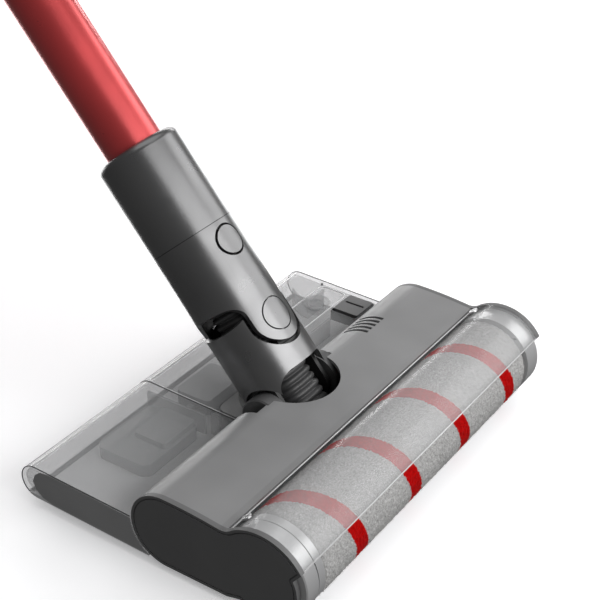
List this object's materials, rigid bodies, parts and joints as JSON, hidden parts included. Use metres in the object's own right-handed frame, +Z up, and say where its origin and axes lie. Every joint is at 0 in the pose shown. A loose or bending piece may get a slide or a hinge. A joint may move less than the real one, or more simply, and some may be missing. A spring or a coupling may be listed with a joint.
{
  "type": "cordless stick vacuum",
  "caption": "Cordless stick vacuum with a roller and mop floor head, a two-axis ribbed neck, a slim red wand and a hand unit with a dust cup.",
  "frame": {"origin": "on the floor at the underside of the mop pad, straight below the neck's tilt hinge", "axes": "+X along the roller axis, +Y to the back of the floor head, -Y to the roller, +Z up; the wand leans back towards +Y"},
  "size_m": [0.25, 0.964, 0.8633],
  "materials": {
    "casing_grey": "satin moulded plastic",
    "cap_dark": "fine matt moulded plastic",
    "clear_cover": "clear polycarbonate",
    "smoke_clear": "smoky clear polycarbonate",
    "tank_grey": "satin moulded plastic",
    "neck_metal": "satin gunmetal paint over moulded plastic",
    "wand_red": "red anodised, satin",
    "hub_silver": "silver satin plastic",
    "black_plastic": "matt moulded plastic",
    "hose_rubber": "matt ribbed elastomer",
    "pile": "short grey pile with a red helix",
    "mop_fabric": "grey microfibre",
    "steel": "bright steel",
    "rubber": "soft matt rubber",
    "board_green": "solder mask",
    "grille_red": "satin moulded plastic"
  },
  "bodies": {
    "head": {"chassis": "cap_dark", "top_cover": "casing_grey", "left_end_cap": "cap_dark", "right_end_cap": "cap_dark", "roller_cover": "clear_cover", "cover_screws": "steel", "casing_screws": "steel", "hinge_lugs": "casing_grey", "suction_duct": "black_plastic", "squeegee_strip": "rubber", "circuit_board": "board_green", "brush_motor": "steel", "drive_belt": "rubber", "drive_shroud": "hub_silver", "end_plug": "hub_silver", "wheel_axles": "steel", "neck_saddle": "casing_grey", "lower_hose": "hose_rubber"},
    "motor_shaft": {"motor_pulley": "steel"},
    "roller": {"roller_hub": "black_plastic", "roller_core": "black_plastic", "roller_pile": "pile", "roller_pulley": "black_plastic"},
    "left_wheel": {"left_wheel": "rubber"},
    "right_wheel": {"right_wheel": "rubber"},
    "tank": {"tank_shell": "smoke_clear", "tank_base": "tank_grey", "tank_walls": "tank_grey", "water_pump": "black_plastic", "mop_plate": "black_plastic", "mop_pad": "mop_fabric"},
    "filler_cap": {"filler_cap": "smoke_clear"},
    "tank_latch": {"tank_latch": "tank_grey"},
    "lower_neck": {"lower_neck_shell": "neck_metal", "neck_yoke": "black_plastic", "pivot_pins": "steel", "hose_coupler": "black_plastic", "upper_hose": "hose_rubber"},
    "upper_neck": {"upper_neck_shell": "neck_metal", "front_swivel_cap": "neck_metal", "rear_swivel_cap": "neck_metal", "wand_socket": "black_plastic"},
    "release_button": {"release_button": "neck_metal"},
    "wand": {"lower_sleeve": "neck_metal", "wand_tube": "wand_red", "upper_sleeve": "neck_metal"},
    "upper_button": {"upper_button": "neck_metal"},
    "hand_unit": {"inlet_tube": "neck_metal", "dust_cup": "smoke_clear", "door_hinge": "neck_metal", "cyclone": "hub_silver", "motor_casing": "neck_metal", "suction_motor": "black_plastic", "exhaust_grille": "grille_red", "grip": "neck_metal"},
    "cup_door": {"cup_door": "cap_dark"},
    "trigger": {"trigger": "grille_red"},
    "battery": {"battery": "cap_dark"},
    "mode_button": {"mode_button": "cap_dark"}
  },
  "joints": [
    {"name": "neck_tilt", "type": "hinge", "parent": "head", "child": "lower_neck", "pos_m": [0, -0.0007, 0.0344], "axis": [-1, 0, 0], "range_deg": [-40, 15], "deforming": ["lower_hose"]},
    {"name": "neck_swivel", "type": "hinge", "parent": "lower_neck", "child": "upper_neck", "pos_m": [0, 0.02933, 0.06951], "axis": [0, 0.76, -0.65], "range_deg": [-10, 10], "deforming": ["upper_hose"]},
    {"name": "release_press", "type": "slide", "parent": "upper_neck", "child": "release_button", "axis": [0, 0.76, -0.65], "range_m": [0, 0.0014], "stiffness_N_per_m": 400},
    {"name": "wand_slide", "type": "slide", "parent": "upper_neck", "child": "wand", "axis": [0, 0.65, 0.76], "range_m": [0, 0.035]},
    {"name": "upper_press", "type": "slide", "parent": "wand", "child": "upper_button", "axis": [0, 0.76, -0.65], "range_m": [0, 0.0012], "stiffness_N_per_m": 400},
    {"name": "hand_slide", "type": "slide", "parent": "wand", "child": "hand_unit", "axis": [0, 0.65, 0.76], "range_m": [0, 0.045]},
    {"name": "door_swing", "type": "hinge", "parent": "hand_unit", "child": "cup_door", "pos_m": [0, 0.64185, 0.61905], "axis": [1, 0, 0], "range_deg": [0, 95]},
    {"name": "trigger_pull", "type": "slide", "parent": "hand_unit", "child": "trigger", "axis": [0, 0.65, 0.76], "range_m": [0, 0.0025], "stiffness_N_per_m": 500},
    {"name": "battery_slide", "type": "slide", "parent": "hand_unit", "child": "battery", "axis": [0, 0.76, -0.65], "range_m": [0, 0.04]},
    {"name": "mode_press", "type": "slide", "parent": "hand_unit", "child": "mode_button", "axis": [0, -0.65, -0.76], "range_m": [0, 0.001], "stiffness_N_per_m": 400},
    {"name": "roller_spin", "type": "hinge", "parent": "head", "child": "roller", "pos_m": [0, -0.067, 0.026], "axis": [1, 0, 0], "continuous": true},
    {"name": "motor_spin", "type": "hinge", "parent": "head", "child": "motor_shaft", "pos_m": [0.1, -0.019, 0.0313], "axis": [1, 0, 0], "continuous": true},
    {"name": "left_wheel_spin", "type": "hinge", "parent": "head", "child": "left_wheel", "pos_m": [-0.072, -0.024, 0.007], "axis": [1, 0, 0], "continuous": true},
    {"name": "right_wheel_spin", "type": "hinge", "parent": "head", "child": "right_wheel", "pos_m": [0.072, -0.024, 0.007], "axis": [1, 0, 0], "continuous": true},
    {"name": "tank_slide", "type": "slide", "parent": "head", "child": "tank", "axis": [0, 1, 0], "range_m": [0, 0.06]},
    {"name": "filler_lift", "type": "slide", "parent": "tank", "child": "filler_cap", "axis": [0, 0, 1], "range_m": [0, 0.015]},
    {"name": "latch_slide", "type": "slide", "parent": "tank", "child": "tank_latch", "axis": [-1, 0, 0], "range_m": [0, 0.0016], "stiffness_N_per_m": 300}
  ],
  "couplings": [
    {"joint": "motor_spin", "follows": "roller_spin", "ratio": 2}
  ]
}
